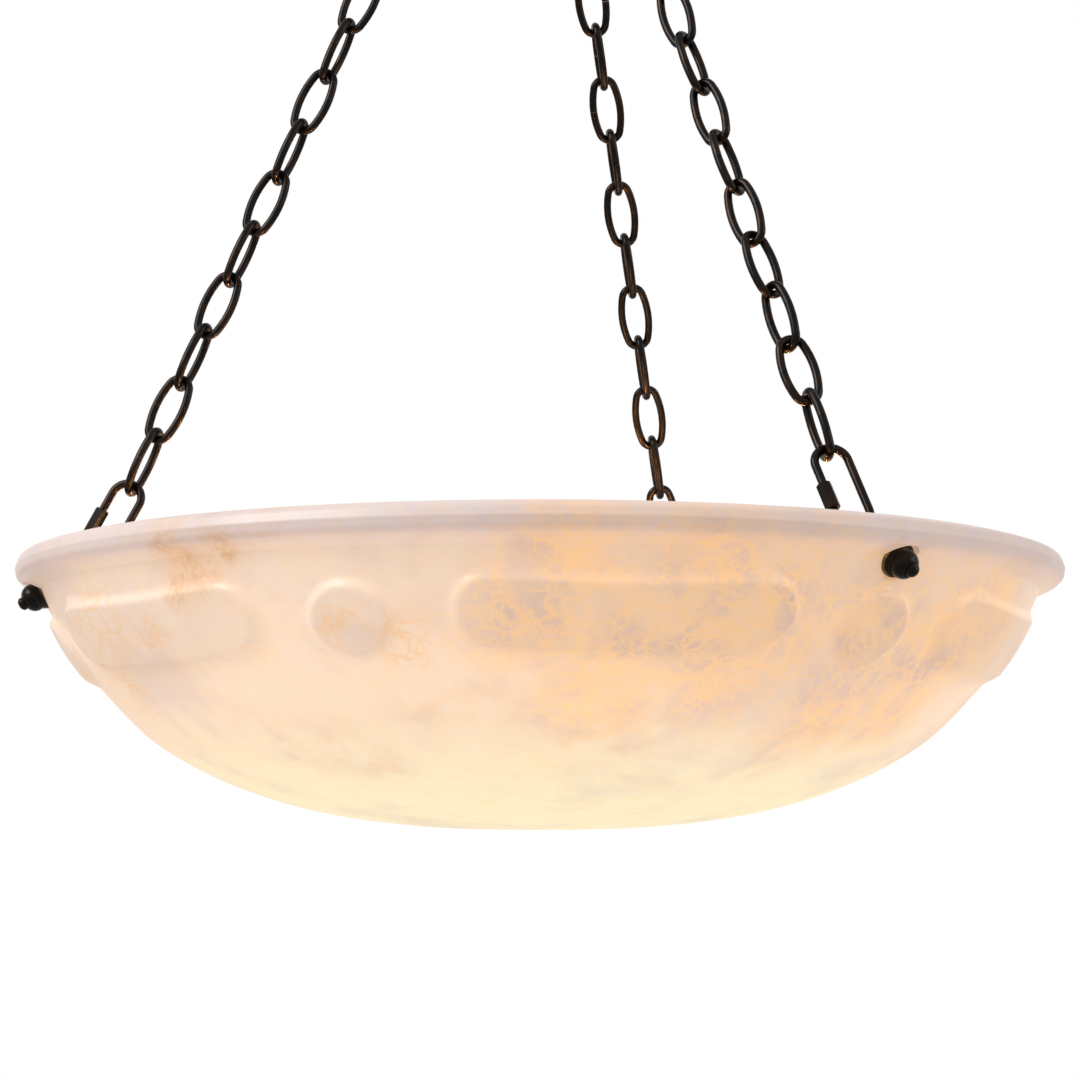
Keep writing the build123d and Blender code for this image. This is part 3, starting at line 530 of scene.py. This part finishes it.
def make_bowl(outside, inside):
    points, mask, inside_from = bowl_points()
    rows, columns = mask.shape
    # The first and last rows lie on the axis, so each becomes one point with a fan of triangles.
    body = points[1:-1].reshape(-1, 3)
    ends = np.array([points[0, 0], points[-1, 0]])
    vertices = np.vstack([body, ends]) / 1000 + np.array([0, 0, LIP_TOP_Z])
    quads = grid_faces(rows - 2, columns)
    first, last = len(body), len(body) + 1
    column = np.arange(columns)
    after = (column + 1) % columns
    top_row = (rows - 3) * columns
    bottom_fan = np.stack([np.full(columns, first), after, column], axis=-1)
    top_fan = np.stack([np.full(columns, last), top_row + column, top_row + after], axis=-1)
    faces = quads.tolist() + bottom_fan.tolist() + top_fan.tolist()
    mesh = bpy.data.meshes.new("carved_alabaster_bowl")
    mesh.from_pydata(vertices.tolist(), [], faces)
    mesh.materials.append(outside)
    mesh.materials.append(inside)
    slots = np.zeros(len(faces), np.int32)
    slots[:len(quads)] = np.repeat(np.arange(rows - 3), columns) >= inside_from - 1
    slots[len(quads) + columns:] = 1
    mesh.polygons.foreach_set("material_index", slots)
    relief = mesh.attributes.new("relief", "FLOAT", "POINT")
    relief.data.foreach_set("value", np.append(mask[1:-1].ravel(), [0.0, 0.0]).astype(np.float32))
    mesh.shade_smooth()
    mesh.set_sharp_from_angle(angle=math.radians(40))
    bowl = bpy.data.objects.new("carved_alabaster_bowl", mesh)
    bpy.context.scene.collection.objects.link(bowl)
    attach(bowl, "bowl")
    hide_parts("alabaster_bowl")


# --- CAD nodes that stay ------------------------------------------------------------------------

def paint(node, material):
    mesh = frame["nodes"][node].data
    mesh.materials.clear()
    mesh.materials.append(material)


def paint_nodes():
    bronze = make_metal("oil_rubbed_bronze", (0.010, 0.008, 0.007), (0.026, 0.015, 0.009), 0.75, 0.20)
    brass = make_metal("antique_brass", (0.16, 0.10, 0.04), (0.55, 0.37, 0.15), 1.0, 0.36)
    bright = make_metal("lampholder_brass", (0.45, 0.32, 0.12), (0.72, 0.55, 0.25), 1.0, 0.28)
    zinc = make_metal("zinc_plated_steel", (0.36, 0.36, 0.35), (0.58, 0.58, 0.55), 1.0, 0.38)
    plastic = make_plastic("black_plastic", (0.02, 0.02, 0.02), 0.42)
    rubber = make_plastic("seal_rubber", (0.03, 0.03, 0.03), 0.8)
    finishes = {
        "dark_bronze": bronze,
        "antique_brass": brass,
        "holder_brass": bright,
        "zinc_steel": zinc,
        "black_plastic": plastic,
        "seal_rubber": rubber,
        "bulb_glass": make_bulb_glass(),
        "filament": make_filament(),
    }
    for part in frame["record"]["subparts"]:
        if part["material_slot"] in finishes:
            paint(part["node"], finishes[part["material_slot"]])
    for number, azimuth in enumerate(LAMP_AZIMUTHS, start=1):
        paint("bulb_base_" + str(number), make_bulb_cap(azimuth))
        frame["nodes"]["bulb_glass_" + str(number)].visible_shadow = False
        frame["nodes"]["bulb_filament_" + str(number)].visible_shadow = False


# --- Light, floor and camera ----------------------------------------------------------------------

def round_the_axis(azimuth, elevation, distance):
    turn = math.radians(azimuth)
    lift = math.radians(elevation)
    middle = Vector((0, 0, LIP_TOP_Z))
    return middle + distance * Vector((math.sin(turn) * math.cos(lift),
                                       -math.cos(turn) * math.cos(lift), math.sin(lift)))


def make_studio_light():
    for name, (azimuth, elevation, distance, size, watts) in SOFTBOXES.items():
        light = bpy.data.lights.new(name, "AREA")
        light.size = size
        light.energy = watts
        box = bpy.data.objects.new(name, light)
        box.location = round_the_axis(azimuth, elevation, distance)
        towards = Vector((0, 0, LIP_TOP_Z)) - box.location
        box.rotation_euler = towards.to_track_quat("-Z", "Y").to_euler()
        bpy.context.scene.collection.objects.link(box)


def make_lamp_light():
    """A warm point light in each bulb."""
    for number, azimuth in enumerate(LAMP_AZIMUTHS, start=1):
        turn = math.radians(azimuth)
        light = bpy.data.lights.new("lamp_light_" + str(number), "POINT")
        light.energy = LAMP_WATTS
        light.color = LAMP_COLOUR
        light.shadow_soft_size = 0.02
        lamp = bpy.data.objects.new(light.name, light)
        lamp.location = (LAMP_RADIUS * math.sin(turn), -LAMP_RADIUS * math.cos(turn), LAMP_Z)
        bpy.context.scene.collection.objects.link(lamp)


def seen_or_lit(tree, seen, lit):
    """One shader where the camera looks straight at it, another for the light that it gives."""
    straight = add(tree, "ShaderNodeLightPath").outputs["Is Camera Ray"]
    return add(tree, "ShaderNodeMixShader", None, {0: straight, 1: lit, 2: seen}).outputs[0]


def make_room():
    world = bpy.data.worlds.new("plain_room")
    world.use_nodes = True
    world.node_tree.nodes.clear()
    tree = world.node_tree
    seen = add(tree, "ShaderNodeBackground", None, {0: BACKDROP, 1: 1.0}).outputs[0]
    lit = add(tree, "ShaderNodeBackground", None, {0: BACKDROP, 1: ROOM_LIGHT}).outputs[0]
    output = add(tree, "ShaderNodeOutputWorld")
    tree.links.new(seen_or_lit(tree, seen, lit), output.inputs[0])
    bpy.context.scene.world = world


def make_floor():
    half = FLOOR_SIZE / 2
    mesh = bpy.data.meshes.new("floor")
    corners = [(-half, -half, FLOOR_HEIGHT), (half, -half, FLOOR_HEIGHT),
               (half, half, FLOOR_HEIGHT), (-half, half, FLOOR_HEIGHT)]
    mesh.from_pydata(corners, [], [(0, 1, 2, 3)])
    material = new_material("pale_floor")
    tree = material.node_tree
    seen = add(tree, "ShaderNodeEmission", None, {0: BACKDROP, 1: 1.0}).outputs[0]
    lit = add(tree, "ShaderNodeBsdfDiffuse", None, {0: FLOOR_COLOUR}).outputs[0]
    output = add(tree, "ShaderNodeOutputMaterial")
    tree.links.new(seen_or_lit(tree, seen, lit), output.inputs[0])
    material.cycles.emission_sampling = "NONE"
    mesh.materials.append(material)
    floor = bpy.data.objects.new("floor", mesh)
    bpy.context.scene.collection.objects.link(floor)


def make_camera():
    turn = math.radians(CAMERA_AZIMUTH)
    data = bpy.data.cameras.new("camera")
    data.lens = LENS
    data.sensor_width = SENSOR
    camera = bpy.data.objects.new("camera", data)
    camera.location = (CAMERA_DISTANCE * math.sin(turn), -CAMERA_DISTANCE * math.cos(turn),
                       CAMERA_HEIGHT)
    camera.rotation_euler = (math.radians(90 + CAMERA_PITCH), 0, turn)
    bpy.context.scene.collection.objects.link(camera)
    bpy.context.scene.camera = camera


def main():
    make_camera()
    make_room()
    make_floor()
    make_studio_light()
    make_lamp_light()
    paint_nodes()
    make_bowl(make_alabaster("alabaster_outside", False), make_alabaster("alabaster_inside", True))
    bpy.context.scene.view_settings.view_transform = "Standard"


main()
